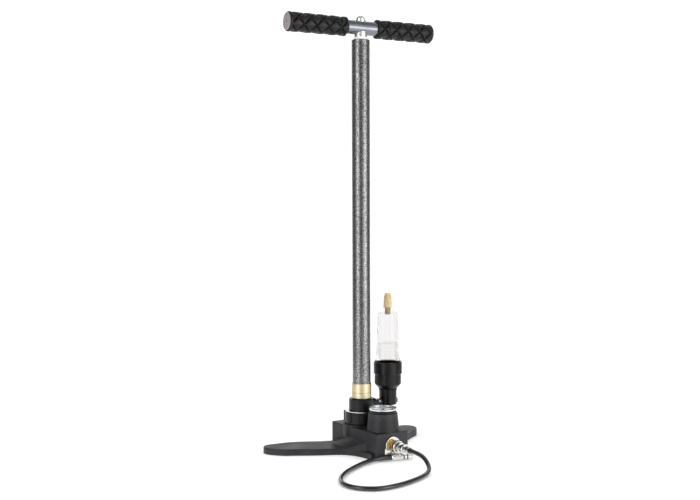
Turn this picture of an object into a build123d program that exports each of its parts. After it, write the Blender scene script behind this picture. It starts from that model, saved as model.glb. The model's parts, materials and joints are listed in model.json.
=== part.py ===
from build123d import *
import os
from math import cos, pi, radians, sin, tan

# High-pressure hand pump: cast base with two swept wings, tall pump tube, T-handle, gauge,
# intake filter tower and a short hose with a fill probe.  Millimetres, +Z up.  The origin is
# on the pump tube's axis, on the surface that the base stands on.  -Y is the gauge and hose side.

# ---------------------------------------------------------------- driving dimensions
# base casting
block_half_width = 26.6
block_front = -78.0
block_back = 39.6
block_height = 36.6
wing_thickness = 8.8
wing_tip = 130.5            # where the wing's front edge turns into its round tip
seat_radius = 28.0          # round seat for the pump column
seat_height = 38.6
neck_radius = 22.8          # threaded neck that the lock ring screws on
neck_height = 46.0
roof_height = 28.0          # underside of the block's roof, above the valve block
plate_thickness = 3.0

# pump column, radii and heights
tube_outer = 13.2
tube_bore = 11.7
tube_bottom = 79.0
tube_top = 594.3
ring_radius = 25.0
ring_bottom = 38.8
ring_top = 56.0
housing_radius = 18.6
housing_bottom = 46.2
housing_top = 74.0
collar_radius = 14.3
collar_top = 96.4
bush_bottom = 574.0
bush_nose_top = 598.2

# moving rods and the fixed inner tube
rod_outer = 9.2
rod_bore = 7.6
rod_bottom = 90.0
inner_outer = 5.0
inner_bore = 3.4
inner_top = 566.0
thin_rod_radius = 3.2
thin_rod_bottom = 66.0
head_bottom = 80.5
head_top = 97.0

# T-handle
handle_height = 612.0
handle_turn = -6.9          # degrees about Z, as the handle is parked
handle_radius = 10.0
handle_bore = 8.0
handle_half_length = 114.8
grip_radius = 14.0
grip_inner_end = 24.0
grip_outer_end = 115.0
nut_top = 629.4

# pressure gauge
gauge_y = -54.3
gauge_seat = 61.5
gauge_case_top = 66.0
gauge_radius = 19.9
cone_top_radius = 20.5
dial_radius = 17.9
bezel_top = 68.5

# intake filter tower
tower_x = 47.0
stem_radius = 13.0
stem_bottom = 60.2
stem_top = 83.8
arm_height = 65.1
arm_radius = 4.5
cup_base_radius = 19.6
cup_base_top = 105.8
cup_ring_radius = 21.1
cup_ring_top = 123.4
cup_shoulder = 194.0
cup_shoulder_radius = 15.5
cup_top = 198.0
cup_neck_top = 204.5
tip_top = 225.4

# outlet, hose and fill probe
outlet_x = -1.0
outlet_height = 19.2
hose_radius = 3.0
probe_turn = -20.0          # degrees, the way the probe points from +X
probe_height = 4.4
probe_start = (-8.2, -86.25)

# clearances
fit_gap = 0.05              # between pieces that slide or screw together
seat_gap = 0.1              # between pieces that only sit in each other

# ---------------------------------------------------------------- working planes
column = Plane.XY
gauge = Plane(origin=(0, gauge_y, 0), x_dir=(1, 0, 0), z_dir=(0, 0, 1))
tower = Plane(origin=(tower_x, 0, 0), x_dir=(1, 0, 0), z_dir=(0, 0, 1))
outlet = Plane(origin=(outlet_x, block_front, outlet_height), x_dir=(1, 0, 0), z_dir=(0, -1, 0))
handle_way = (cos(radians(handle_turn)), sin(radians(handle_turn)), 0)
handle = Plane(origin=(0, 0, handle_height), x_dir=(0, 0, 1), z_dir=handle_way)
arm = Plane(origin=(0, 0, arm_height), x_dir=(0, 0, 1), z_dir=(1, 0, 0))
bleed = Plane(origin=(block_half_width, gauge_y, outlet_height), x_dir=(0, 0, 1), z_dir=(1, 0, 0))
probe_way = (cos(radians(probe_turn)), sin(radians(probe_turn)), 0)
probe = Plane(origin=(*probe_start, probe_height), x_dir=(0, 0, 1), z_dir=probe_way)


# ---------------------------------------------------------------- helpers
def side_of(along):
    """The plane through an axis: its x is the radius, its y the height along the axis."""
    return Plane(origin=along.origin, x_dir=along.x_dir, z_dir=along.y_dir * -1)


def turn(profile, along=column, mode=Mode.ADD):
    """In a part: turn a closed outline of (radius, height) corners about a plane's normal."""
    with BuildSketch(side_of(along)) as section:
        with BuildLine():
            Polyline(*profile, close=True)
        make_face()
    revolve(section.sketch, axis=Axis(along.origin, along.z_dir), mode=mode)


def disc(radius, bottom, top, along=column, mode=Mode.ADD):
    """In a part: a round bar, or with SUBTRACT a round hole, between two heights."""
    with BuildSketch(along.offset(bottom)) as section:
        Circle(radius)
    extrude(section.sketch, amount=top - bottom, mode=mode)


def hexagon(corner_radius, bottom, top, along=column, rotation=30):
    """In a part: a six-sided bar between two heights."""
    with BuildSketch(along.offset(bottom)) as section:
        RegularPolygon(corner_radius, 6, rotation=rotation)
    extrude(section.sketch, amount=top - bottom)


def seal(mean_radius, cord_radius, heights, along=column):
    """In a part: one round rubber ring at each height along the plane's normal."""
    for height in heights:
        with BuildSketch(side_of(along)) as section:
            with Locations((mean_radius, height)):
                Circle(cord_radius)
        revolve(section.sketch, axis=Axis(along.origin, along.z_dir))


def save(piece, name):
    """Label a finished piece and write it as its own STEP file."""
    piece.part.label = name
    export_step(piece.part, f"parts/{name}.step")


os.makedirs("parts", exist_ok=True)

# ---------------------------------------------------------------- base casting
wing_front = [(30.6, -69), (31.2, -48), (43, -21), (75, -2.5), (106, 17), (wing_tip, 40)]
wing_back = [(wing_tip - 4, 64), (108, 65), (91, 63), (72, 56.5), (55, 47.5), (26, 35)]
wedge_root = [(-57, 7), (-54, 21.5), (-24, 26.5), (4, 20.5), (37, 8.5), (37, 7)]
wedge_end = [(-22, 7), (-20, 8.3), (-10, 8.5), (4, 8.5), (24, 8.3), (25, 7)]
wedge_reach = (25, 41)      # how far out from the middle each wedge starts and ends
plate_hole_places = [(-10, -63.2), (10, -63.2), (-10, 23.2), (10, 23.2)]
pocket_size = (36, 80.4)
pocket_centre = (0, -20)
pocket_front = pocket_centre[1] - pocket_size[1] / 2
plate_size = (44, 92)

with BuildPart() as base_casting:
    with BuildSketch():
        with BuildLine():
            Line((0, wing_front[0][1]), wing_front[0])
            front_edge = Spline(*wing_front, tangents=[(0, 1), (0.55, 0.84)])
            tip_arc = TangentArc(wing_front[-1], wing_back[0], tangent=front_edge % 1)
            Spline(*wing_back, tangents=[tip_arc % 1, (-1, -0.3)])
            Line(wing_back[-1], (0, wing_back[-1][1]))
            mirror(about=Plane.YZ)
        make_face()
    extrude(amount=wing_thickness)
    wing_top_edges = base_casting.faces().sort_by(Axis.Z)[-1].edges()
    fillet(wing_top_edges.filter_by(lambda edge: abs(edge.center().X) > block_half_width), 1.6)
    block_middle = (block_front + block_back) / 2
    with BuildSketch():
        with Locations((0, block_middle)):
            RectangleRounded(2 * block_half_width, block_back - block_front, 1.6)
    extrude(amount=block_height)
    fillet(base_casting.faces().sort_by(Axis.Z)[-1].edges(), 1.2)
    # the wedge on each side, where the wing's top runs up into the block
    for side in (-1, 1):
        sections = []
        for reach, outline in zip(wedge_reach, (wedge_root, wedge_end)):
            with BuildSketch(Plane(origin=(side * reach, 0, 0), x_dir=(0, 1, 0), z_dir=(1, 0, 0))) as cut:
                with BuildLine():
                    Line(outline[-1], outline[0])
                    Line(outline[0], outline[1])
                    Spline(*outline[1:-1])
                    Line(outline[-2], outline[-1])
                make_face()
            sections.append(cut.sketch)
        loft(sections, ruled=True)
    disc(seat_radius, 20, seat_height)
    disc(neck_radius, 20, neck_height)
    turn([(0, 30), (23.4, 30), (23.4, 36.9), (23.0, 38.2), (22.7, 41), (cone_top_radius, gauge_seat),
          (0, gauge_seat)], gauge)
    # from below: rebate for the cover plate, pocket for the valve block
    with BuildSketch():
        with Locations(pocket_centre):
            RectangleRounded(*plate_size, 4)
    extrude(amount=plate_thickness, mode=Mode.SUBTRACT)
    with BuildSketch():
        with Locations(pocket_centre):
            RectangleRounded(*pocket_size, 3)
    extrude(amount=roof_height, mode=Mode.SUBTRACT)
    # column neck, gauge pocket, outlet, bleed screw and plate screws
    disc(12.0, 20, neck_height + 1, mode=Mode.SUBTRACT)
    disc(17.7, 46, gauge_seat + 1, gauge, mode=Mode.SUBTRACT)
    disc(4.2, 20, 50, gauge, mode=Mode.SUBTRACT)
    disc(6.2, -20, 1, outlet, mode=Mode.SUBTRACT)
    disc(3.3, -10, 1, bleed, mode=Mode.SUBTRACT)
    for place in plate_hole_places:
        disc(1.5, 2, 14, Plane(origin=(*place, 0)), mode=Mode.SUBTRACT)
save(base_casting, "base_casting")

with BuildPart() as base_cover_plate:
    with BuildSketch():
        with Locations(pocket_centre):
            RectangleRounded(plate_size[0] - 2 * seat_gap, plate_size[1] - 2 * seat_gap, 4)
    extrude(amount=plate_thickness - fit_gap)
    for place in plate_hole_places:
        disc(1.7, -1, plate_thickness + 1, Plane(origin=(*place, 0)), mode=Mode.SUBTRACT)
        turn([(0, -0.1), (3.2, -0.1), (1.7, 1.5), (0, 1.5)], Plane(origin=(*place, 0)),
             mode=Mode.SUBTRACT)
save(base_cover_plate, "base_cover_plate")

with BuildPart() as cover_screws:
    for place in plate_hole_places:
        turn([(0, 1.2), (1.3, 1.2), (1.3, 0.2), (2.9, 0.2), (1.4, 1.7), (1.4, 12), (0, 12)],
             Plane(origin=(*place, 0)))
save(cover_screws, "cover_screws")

# ---------------------------------------------------------------- valve block and check valve
valve_cavity_radius = 3.2
valve_cavity_bottom = 15.0
valve_seat = 34.0
ball_radius = 2.5
ball_height = 31.95
passage_height = 20.0
port_floor = block_front - pocket_front - 0.4   # along the outlet, from the block's front face

with BuildPart() as valve_block:
    with BuildSketch(Plane.XY.offset(plate_thickness + fit_gap)):
        with Locations(pocket_centre):
            RectangleRounded(pocket_size[0] - 2 * seat_gap, pocket_size[1] - 2 * seat_gap, 3)
    extrude(amount=roof_height - plate_thickness - 2 * fit_gap)
    disc(11.9, 20, 50)
    disc(inner_outer + 0.02, 38, 51, mode=Mode.SUBTRACT)
    disc(1.6, 20, 51, mode=Mode.SUBTRACT)
    disc(valve_cavity_radius, valve_cavity_bottom, valve_seat, mode=Mode.SUBTRACT)
    disc(5.0, 0, valve_cavity_bottom, mode=Mode.SUBTRACT)
    # the air passage runs forward under the gauge to the outlet
    with BuildSketch(Plane.XZ) as passage:
        with Locations((0, passage_height)):
            Circle(1.5)
    extrude(passage.sketch, amount=-pocket_front, mode=Mode.SUBTRACT)
    disc(4.0, 20, roof_height, gauge, mode=Mode.SUBTRACT)
    disc(6.0, port_floor, port_floor + 7, outlet, mode=Mode.SUBTRACT)
    disc(3.1, -20, 0, bleed, mode=Mode.SUBTRACT)
save(valve_block, "valve_block")

with BuildPart() as valve_plug:
    disc(4.95, plate_thickness + 0.3, valve_cavity_bottom - fit_gap)
    with BuildSketch(Plane.XY.offset(plate_thickness + 0.3)) as key_socket:
        RegularPolygon(2.9, 6)
    extrude(key_socket.sketch, amount=4, mode=Mode.SUBTRACT)
save(valve_plug, "valve_plug")

with BuildPart() as check_ball:
    with Locations((0, 0, ball_height)):
        Sphere(ball_radius)
save(check_ball, "check_ball")

spring_bottom = valve_cavity_bottom + 0.4
spring_top = ball_height - ball_radius - 0.4
with BuildPart() as check_spring:
    with BuildLine() as coil:
        Helix(pitch=2.6, height=spring_top - spring_bottom, radius=1.9, center=(0, 0, spring_bottom))
    with BuildSketch(Plane(origin=coil.line @ 0, z_dir=coil.line % 0)):
        Circle(0.32)
    sweep()
save(check_spring, "check_spring")

# ---------------------------------------------------------------- pump column, fixed pieces
with BuildPart() as inner_tube:
    disc(inner_outer, 38.1, inner_top)
    disc(inner_bore, 38, inner_top + 1, mode=Mode.SUBTRACT)
save(inner_tube, "inner_tube")

with BuildPart() as second_stage_piston:
    disc(rod_bore - 0.06, inner_top - 8, inner_top + 6)
    disc(inner_outer + 0.02, inner_top - 9, inner_top, mode=Mode.SUBTRACT)
    disc(inner_bore, inner_top - 1, inner_top + 7, mode=Mode.SUBTRACT)
    turn([(6.3, inner_top + 1.2), (8, inner_top + 1.2), (8, inner_top + 2.8),
          (6.3, inner_top + 2.8)], mode=Mode.SUBTRACT)
save(second_stage_piston, "second_stage_piston")

with BuildPart() as second_stage_seal:
    seal(6.93, 0.62, [inner_top + 2])
save(second_stage_seal, "second_stage_seal")

with BuildPart() as lock_ring:
    turn([(neck_radius + 0.1, ring_bottom), (ring_radius - 0.6, ring_bottom),
          (ring_radius, ring_bottom + 0.6), (ring_radius, ring_top - 1.4),
          (ring_radius - 0.9, ring_top - 0.5), (ring_radius - 0.9, ring_top),
          (housing_radius + 0.2, ring_top), (housing_radius + 0.2, 52.1),
          (neck_radius + 0.1, 52.1)])
    with PolarLocations(ring_radius, 8, start_angle=20):
        with Locations((0, 0, (ring_bottom + ring_top) / 2)):
            Box(1.6, 2.2, 12, mode=Mode.SUBTRACT)
    with PolarLocations(ring_radius + 0.4, 4, start_angle=42):
        with Locations((0, 0, ring_bottom + 9.5)):
            Box(2.4, 5.0, 14)
save(lock_ring, "lock_ring")

with BuildPart() as ring_washer:
    disc(ring_radius - 1.1, ring_top + fit_gap, ring_top + 0.9)
    disc(housing_radius + 0.2, ring_top - 1, ring_top + 2, mode=Mode.SUBTRACT)
save(ring_washer, "ring_washer")

with BuildPart() as housing_seal:
    seal(17.5, 1.0, [housing_bottom + 0.9])
save(housing_seal, "housing_seal")

with BuildPart() as intake_housing:
    turn([(12.0, housing_bottom), (22.6, housing_bottom), (22.6, 52.0), (housing_radius, 52.0),
          (housing_radius, housing_top - 1.0), (housing_radius - 1.0, housing_top),
          (12.5, housing_top), (12.5, 68.0), (15.0, 67.0), (15.0, 56.0), (12.0, 54.0)])
    turn([(16.3, 46), (18.7, 46), (18.7, 48.2), (16.3, 48.2)], mode=Mode.SUBTRACT)
    disc(7.0, 16.5, 22.5, arm)
    disc(arm_radius + fit_gap, 12, 23, arm, mode=Mode.SUBTRACT)
save(intake_housing, "intake_housing")

with BuildPart() as tube_collar:
    turn([(9.9, 66.5), (12.4, 66.5), (12.4, housing_top + fit_gap), (13.5, housing_top + fit_gap),
          (collar_radius, 75.2), (collar_radius, 82.6), (13.9, 83.0), (collar_radius, 83.4),
          (collar_radius, collar_top - 0.6), (13.8, collar_top), (tube_outer + 0.02, collar_top),
          (tube_outer + 0.02, tube_bottom - fit_gap), (9.9, tube_bottom - fit_gap)])
save(tube_collar, "tube_collar")

with BuildPart() as outer_tube:
    disc(tube_outer, tube_bottom, tube_top)
    disc(tube_bore, tube_bottom - 1, tube_top + 1, mode=Mode.SUBTRACT)
    chamfer(outer_tube.edges().group_by(Axis.Z)[-1].sort_by(SortBy.RADIUS)[-1], 0.4)
save(outer_tube, "outer_tube")

with BuildPart() as guide_bush:
    turn([(rod_outer + 0.06, bush_bottom), (tube_bore - 0.02, bush_bottom),
          (tube_bore - 0.02, tube_top), (10.6, tube_top), (10.2, bush_nose_top - 0.6),
          (9.9, bush_nose_top), (rod_outer + 0.06, bush_nose_top), (rod_outer + 0.06, 590.2),
          (10.9, 590.2), (10.9, 587.8), (rod_outer + 0.06, 587.8)])
save(guide_bush, "guide_bush")

with BuildPart() as wiper_seal:
    turn([(rod_outer + 0.04, 588.0), (10.8, 588.0), (10.8, 590.0), (rod_outer + 0.04, 590.0)])
save(wiper_seal, "wiper_seal")

# ---------------------------------------------------------------- piston, rods and T-handle
groove_heights = [head_bottom + 2.6, head_bottom + 6.6]
with BuildPart() as piston_head:
    turn([(inner_outer + 0.06, head_bottom), (tube_bore - 0.8, head_bottom),
          (tube_bore - 0.08, head_bottom + 0.7), (tube_bore - 0.08, head_top),
          (rod_outer + fit_gap, head_top), (rod_outer + fit_gap, rod_bottom - fit_gap),
          (inner_outer + 0.06, rod_bottom - fit_gap)])
    for height in groove_heights:
        turn([(9.2, height - 1.1), (12.5, height - 1.1), (12.5, height + 1.1), (9.2, height + 1.1)],
             mode=Mode.SUBTRACT)
save(piston_head, "piston_head")

with BuildPart() as piston_seals:
    seal(10.62, 1.04, groove_heights)
save(piston_seals, "piston_seals")

with BuildPart() as stroke_buffer:
    turn([(rod_outer + 0.06, head_top + fit_gap), (11.3, head_top + fit_gap), (11.3, head_top + 3),
          (rod_outer + 0.06, head_top + 3)])
save(stroke_buffer, "stroke_buffer")

saddle_top = handle_height - 6.0
with BuildPart() as piston_rod:
    disc(rod_outer, rod_bottom, saddle_top)
    disc(rod_bore, rod_bottom - 1, saddle_top + 1, mode=Mode.SUBTRACT)
    disc(handle_radius + fit_gap, -20, 20, handle, mode=Mode.SUBTRACT)
save(piston_rod, "piston_rod")

stud_radius = 4.0
with BuildPart() as rod_end_plug:
    disc(rod_bore - 0.02, 584, 602)
    disc(stud_radius, 590, nut_top - 2.5)
    disc(thin_rod_radius + 0.02, 583, 594, mode=Mode.SUBTRACT)
save(rod_end_plug, "rod_end_plug")

with BuildPart() as third_stage_rod:
    disc(thin_rod_radius, thin_rod_bottom, 593.9)
    turn([(2.4, thin_rod_bottom + 1.5), (4, thin_rod_bottom + 1.5), (4, thin_rod_bottom + 3.5),
          (2.4, thin_rod_bottom + 3.5)], mode=Mode.SUBTRACT)
save(third_stage_rod, "third_stage_rod")

with BuildPart() as third_stage_seal:
    turn([(2.42, thin_rod_bottom + 1.6), (inner_bore - 0.04, thin_rod_bottom + 1.6),
          (inner_bore - 0.04, thin_rod_bottom + 3.4), (2.42, thin_rod_bottom + 3.4)])
save(third_stage_seal, "third_stage_seal")

with BuildPart() as handle_tube:
    disc(handle_radius, -handle_half_length, handle_half_length, handle)
    disc(handle_bore, -handle_half_length - 1, handle_half_length + 1, handle, mode=Mode.SUBTRACT)
    disc(stud_radius + fit_gap, handle_height - 12, handle_height + 12, mode=Mode.SUBTRACT)
save(handle_tube, "handle_tube")

washer_top = handle_height + handle_radius + 0.9
with BuildPart() as saddle_washer:
    disc(7.2, washer_top - 3.2, washer_top)
    disc(stud_radius + fit_gap, washer_top - 4, washer_top + 1, mode=Mode.SUBTRACT)
    disc(handle_radius + 0.02, -20, 20, handle, mode=Mode.SUBTRACT)
save(saddle_washer, "saddle_washer")

nut_radius = 6.2
nut_bottom = washer_top + fit_gap
with BuildPart() as dome_nut:
    with BuildSketch(Plane.XZ):
        with BuildLine():
            Polyline((0, nut_top), (0, nut_top - 2.2), (stud_radius + fit_gap, nut_top - 2.2),
                     (stud_radius + fit_gap, nut_bottom), (nut_radius, nut_bottom),
                     (nut_radius, nut_bottom + 2.6))
            ThreePointArc((nut_radius, nut_bottom + 2.6), (4.6, nut_top - 1.2), (0.8, nut_top))
            Line((0.8, nut_top), (0, nut_top))
        make_face()
    revolve(axis=Axis.Z)
save(dome_nut, "dome_nut")

ring_groove_width = 2.0
ring_groove_depth = 1.4
for name, way, ring_groove_places in (("grip_left", -1, (12.5, 27.7)), ("grip_right", 1, (16.9, 32.4))):
    with BuildPart() as grip:
        turn([(handle_radius + fit_gap, way * grip_inner_end), (grip_radius - 2.4, way * grip_inner_end),
              (grip_radius - 0.3, way * (grip_inner_end + 2.6)), (grip_radius, way * (grip_inner_end + 4)),
              (grip_radius, way * (grip_outer_end - 1.6)), (grip_radius - 1.2, way * grip_outer_end),
              (handle_radius + fit_gap, way * grip_outer_end)], handle)
        for place in [grip_inner_end + groove for groove in ring_groove_places]:
            turn([(grip_radius - ring_groove_depth, way * (place - 0.6)),
                  (grip_radius + 1, way * (place - ring_groove_width / 2)),
                  (grip_radius + 1, way * (place + ring_groove_width / 2)),
                  (grip_radius - ring_groove_depth, way * (place + 0.6))], handle, mode=Mode.SUBTRACT)
    save(grip, name)

cap_plug_length = 10.6      # of each end cap, inside the handle tube
with BuildPart() as grip_ends:
    for way in (-1, 1):
        turn([(0, way * (grip_outer_end + fit_gap)), (12.4, way * (grip_outer_end + fit_gap)),
              (12.4, way * (grip_outer_end + 0.9)), (11.9, way * (grip_outer_end + 1.5)),
              (11.0, way * (grip_outer_end + 1.5)), (10.8, way * (grip_outer_end + 0.9)),
              (0, way * (grip_outer_end + 0.9))], handle)
        disc(handle_bore - 0.02, way * (grip_outer_end - cap_plug_length), way * (grip_outer_end + 0.2),
             handle)
        disc(1.4, way * (grip_outer_end - 3), way * (grip_outer_end + 2), handle, mode=Mode.SUBTRACT)
save(grip_ends, "grip_ends")

# ---------------------------------------------------------------- pressure gauge
case_radius = gauge_radius - 0.8
with BuildPart() as gauge_case:
    turn([(4.2, 48), (17.5, 48), (17.5, gauge_seat + fit_gap), (case_radius - 0.3, gauge_seat + fit_gap),
          (case_radius, gauge_seat + 0.4), (case_radius, gauge_case_top), (dial_radius + 0.1, gauge_case_top),
          (dial_radius + 0.1, 65.0), (16.2, 65.0), (16.2, 50), (4.2, 50)], gauge)
save(gauge_case, "gauge_case")

with BuildPart() as gauge_stem:
    turn([(1.1, 21.5), (3.95, 21.5), (3.95, 50.2), (5.2, 50.2), (5.2, 54), (1.1, 54)], gauge)
    with BuildSketch(gauge.offset(54)) as frame_plate:
        Rectangle(12, 7)
    extrude(frame_plate.sketch, amount=1.5)
    with BuildSketch(gauge.offset(55)) as pillars:
        with Locations((-4.6, 0), (4.6, 0)):
            Circle(1.1)
    extrude(pillars.sketch, amount=7.5)
    with BuildSketch(gauge.offset(61.5)) as top_plate:
        Rectangle(14, 7)
    extrude(top_plate.sketch, amount=1.2)
    disc(1.15, 60, 64, gauge, mode=Mode.SUBTRACT)
save(gauge_stem, "gauge_stem")

with BuildPart() as bourdon_tube:
    coil_plane = Plane(origin=(0, gauge_y, 58.2))
    with BuildLine(coil_plane) as tube_line:
        CenterArc((0, 0), 11.5, -60, 260)
    with BuildSketch(Plane(origin=tube_line.line @ 0, z_dir=tube_line.line % 0)):
        Ellipse(2.0, 0.9)
    sweep()
save(bourdon_tube, "bourdon_tube")

needle_angle = 225.0
with BuildPart() as gauge_dial:
    disc(dial_radius, 65.05, 65.65, gauge)
    disc(1.6, 65, 66, gauge, mode=Mode.SUBTRACT)
save(gauge_dial, "gauge_dial")

with BuildPart() as gauge_needle:
    disc(0.9, 60.5, 66.2, gauge)
    disc(2.1, 65.95, 66.75, gauge)
    needle_plane = Plane(origin=(0, gauge_y, 66.1), x_dir=(cos(radians(needle_angle)),
                         sin(radians(needle_angle)), 0), z_dir=(0, 0, 1))
    with BuildSketch(needle_plane) as pointer:
        with BuildLine():
            Polyline((-5, -0.9), (0, -0.8), (14.2, -0.15), (14.2, 0.15), (0, 0.8), (-5, 0.9), close=True)
        make_face()
    extrude(pointer.sketch, amount=0.4)
save(gauge_needle, "gauge_needle")

with BuildPart() as gauge_lens:
    disc(dial_radius + 0.8, 67.1, 67.9, gauge)
save(gauge_lens, "gauge_lens")

window_radius = dial_radius - 0.2
with BuildPart() as gauge_bezel:
    turn([(window_radius, gauge_case_top + fit_gap), (gauge_radius, gauge_case_top + fit_gap),
          (gauge_radius, bezel_top - 0.7), (gauge_radius - 0.7, bezel_top), (window_radius, bezel_top),
          (window_radius, 67.95), (dial_radius + 0.9, 67.95), (dial_radius + 0.9, 67.05),
          (window_radius, 67.05)], gauge)
save(gauge_bezel, "gauge_bezel")

# ---------------------------------------------------------------- intake filter tower
with BuildPart() as filter_arm:
    disc(arm_radius, 15.2, tower_x - stem_radius + 4.5, arm)
    with BuildSketch(arm.offset(23)) as lug:
        RectangleRounded(9.0, 10.4, 1.2)
    extrude(lug.sketch, amount=tower_x - stem_radius - 24)
    disc(2.6, 14, tower_x - stem_radius + 6, arm, mode=Mode.SUBTRACT)
save(filter_arm, "filter_arm")

with BuildPart() as arm_screw:
    screw_axis = Plane(origin=(28.2, -5.25, arm_height + 2.2), x_dir=(1, 0, 0), z_dir=(0, -1, 0))
    turn([(0, 0), (1.9, 0), (1.9, 0.9), (1.3, 1.5), (0, 1.5)], screw_axis)
    with BuildSketch(screw_axis.offset(0.8)) as slot:
        Rectangle(4.2, 0.5)
    extrude(slot.sketch, amount=1, mode=Mode.SUBTRACT)
save(arm_screw, "arm_screw")

with BuildPart() as filter_stem:
    turn([(0, stem_bottom), (12.0, stem_bottom), (stem_radius, stem_bottom + 1.0),
          (stem_radius, 81.2), (13.7, 81.6), (13.7, stem_top - 0.2), (0, stem_top - 0.2)], tower)
    disc(8.0, stem_bottom + 2.4, stem_top + 1, tower, mode=Mode.SUBTRACT)
    disc(arm_radius + 0.1, tower_x - stem_radius - 1, tower_x - 4, arm, mode=Mode.SUBTRACT)
    disc(3.1, tower_x + 4, tower_x + stem_radius + 1, arm, mode=Mode.SUBTRACT)
save(filter_stem, "filter_stem")

with BuildPart() as stem_plug:
    disc(3.05, tower_x + 8.4, tower_x + stem_radius + 0.4, arm)
    disc(4.6, tower_x + stem_radius + 0.3, tower_x + stem_radius + 2.2, arm)
    with BuildSketch(arm.offset(tower_x + stem_radius + 1.2)) as coin_slot:
        Rectangle(10, 1.0)
    extrude(coin_slot.sketch, amount=3, mode=Mode.SUBTRACT)
save(stem_plug, "stem_plug")

rib_count = 32
with BuildPart() as cup_base:
    turn([(5.6, stem_top - 8), (7.9, stem_top - 8), (7.9, stem_top), (stem_radius, stem_top),
          (cup_base_radius - 0.4, 90.5), (cup_base_radius - 0.4, cup_base_top - 0.1),
          (19.0, cup_base_top - 0.1), (19.0, 115.9), (15.5, 115.9), (15.5, 93), (5.6, 90)], tower)
    with BuildSketch(tower.offset(91.5)) as ribs:
        with PolarLocations(cup_base_radius - 0.55, rib_count):
            Circle(0.55)
    extrude(ribs.sketch, amount=12.5)
save(cup_base, "cup_base")

cup_foot = 117.0
with BuildPart() as cup_ring:
    turn([(19.1, cup_base_top), (cup_ring_radius - 0.5, cup_base_top),
          (cup_ring_radius, cup_base_top + 0.6), (cup_ring_radius, cup_ring_top - 0.8),
          (cup_ring_radius - 0.6, cup_ring_top), (19.45, cup_ring_top), (19.45, 121.6),
          (20.1, 121.6), (20.1, cup_foot - 0.5), (19.1, cup_foot - 0.5)], tower)
    with BuildSketch(tower.offset(cup_base_top + 1.2)) as grips:
        with PolarLocations(cup_ring_radius + 0.1, 12):
            Circle(0.9)
    extrude(grips.sketch, amount=15, mode=Mode.SUBTRACT)
save(cup_ring, "cup_ring")

with BuildPart() as cup_seal:
    seal(17.4, 0.5, [116.45], tower)
save(cup_seal, "cup_seal")

cup_wall = 1.7
cup_crown_radius = cup_shoulder_radius - 4.0
flute_count = 10
with BuildPart() as one_flute:
    with BuildSketch(tower.offset(124)) as flute_foot:
        with Locations((16.2, 0)):
            Circle(1.5)
    with BuildSketch(tower.offset(cup_shoulder - 2)) as flute_head:
        with Locations((cup_shoulder_radius - 1.4, 0)):
            Circle(1.0)
    loft([flute_foot.sketch, flute_head.sketch])
with BuildPart() as filter_cup:
    with BuildSketch(side_of(tower)) as cup_section:
        with BuildLine():
            Polyline((15.6, cup_foot), (20.0, cup_foot), (20.0, 121.5), (19.35, 121.5),
                     (cup_shoulder_radius, cup_shoulder))
            ThreePointArc((cup_shoulder_radius, cup_shoulder), (cup_shoulder_radius - 1.3, cup_top - 1.2),
                          (cup_shoulder_radius - 3.7, cup_top))
            Polyline((cup_shoulder_radius - 3.7, cup_top), (7.9, cup_top), (7.6, cup_top + 0.4),
                     (7.6, cup_neck_top), (4.3, cup_neck_top), (4.3, cup_top - cup_wall),
                     (cup_crown_radius, cup_top - cup_wall))
            ThreePointArc((cup_crown_radius, cup_top - cup_wall),
                          (cup_crown_radius + 1.5, cup_top - cup_wall - 0.9),
                          (cup_shoulder_radius - cup_wall, cup_shoulder - 0.6))
            Line((cup_shoulder_radius - cup_wall, cup_shoulder - 0.6), (15.6, cup_foot))
        make_face()
    revolve(cup_section.sketch, axis=Axis(tower.origin, tower.z_dir))
    # moulded flutes inside the wall, leaning in with it
    for index in range(flute_count):
        add(one_flute.part.rotate(Axis(tower.origin, tower.z_dir), 360 * index / flute_count))
save(filter_cup, "filter_cup")

with BuildPart() as filter_screen:
    turn([(12.9, 116.6), (13.9, 116.6), (13.9, 152.2), (0, 152.2), (0, 151.0), (12.9, 151.0)], tower)
    with BuildSketch(tower.offset(150)) as screen_holes:
        with PolarLocations(9.6, 10):
            Circle(1.1)
        with PolarLocations(4.8, 6):
            Circle(1.1)
    extrude(screen_holes.sketch, amount=4, mode=Mode.SUBTRACT)
save(filter_screen, "filter_screen")

with BuildPart() as filter_pad:
    disc(15.2, 111.0, 116.6, tower)
save(filter_pad, "filter_pad")

with BuildPart() as breather_tip:
    turn([(1.6, cup_top - 4), (4.1, cup_top - 4), (4.25, cup_neck_top), (6.5, cup_neck_top + fit_gap),
          (5.7, tip_top - 4.0), (4.7, tip_top - 3.4), (4.45, tip_top - 0.6), (3.9, tip_top),
          (0, tip_top), (0, tip_top - 8), (1.6, tip_top - 8)], tower)
save(breather_tip, "breather_tip")

# ---------------------------------------------------------------- outlet on the front face
plate_front = 3.0
plate_floor = 1.4           # bottom of the round recess in the plate that the nut sits in
nut_front = 10.2
adapter_front = 15.5
coupling_front = 31.4
ferrule_front = 41.0
boot_front = 45.0
plate_radius = 12.5
plate_foot = 14.2
plate_bottom = -11.6        # below the outlet's axis, just clear of the hose on the floor

with BuildPart() as outlet_plate:
    with BuildSketch(outlet.offset(fit_gap)):
        with BuildLine():
            Polyline((plate_radius, 0), (plate_radius, -2), (plate_foot, -3.5), (plate_foot, plate_bottom),
                     (-plate_foot, plate_bottom), (-plate_foot, -3.5), (-plate_radius, -2), (-plate_radius, 0))
            ThreePointArc((-plate_radius, 0), (0, plate_radius), (plate_radius, 0))
        make_face()
        Circle(6.3, mode=Mode.SUBTRACT)
    extrude(amount=plate_front - fit_gap)
    fillet(outlet_plate.faces().sort_by(Axis.Y)[0].outer_wire().edges(), 0.9)
    disc(10.0, plate_floor, plate_front + 1, outlet, mode=Mode.SUBTRACT)
save(outlet_plate, "outlet_plate")

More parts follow.
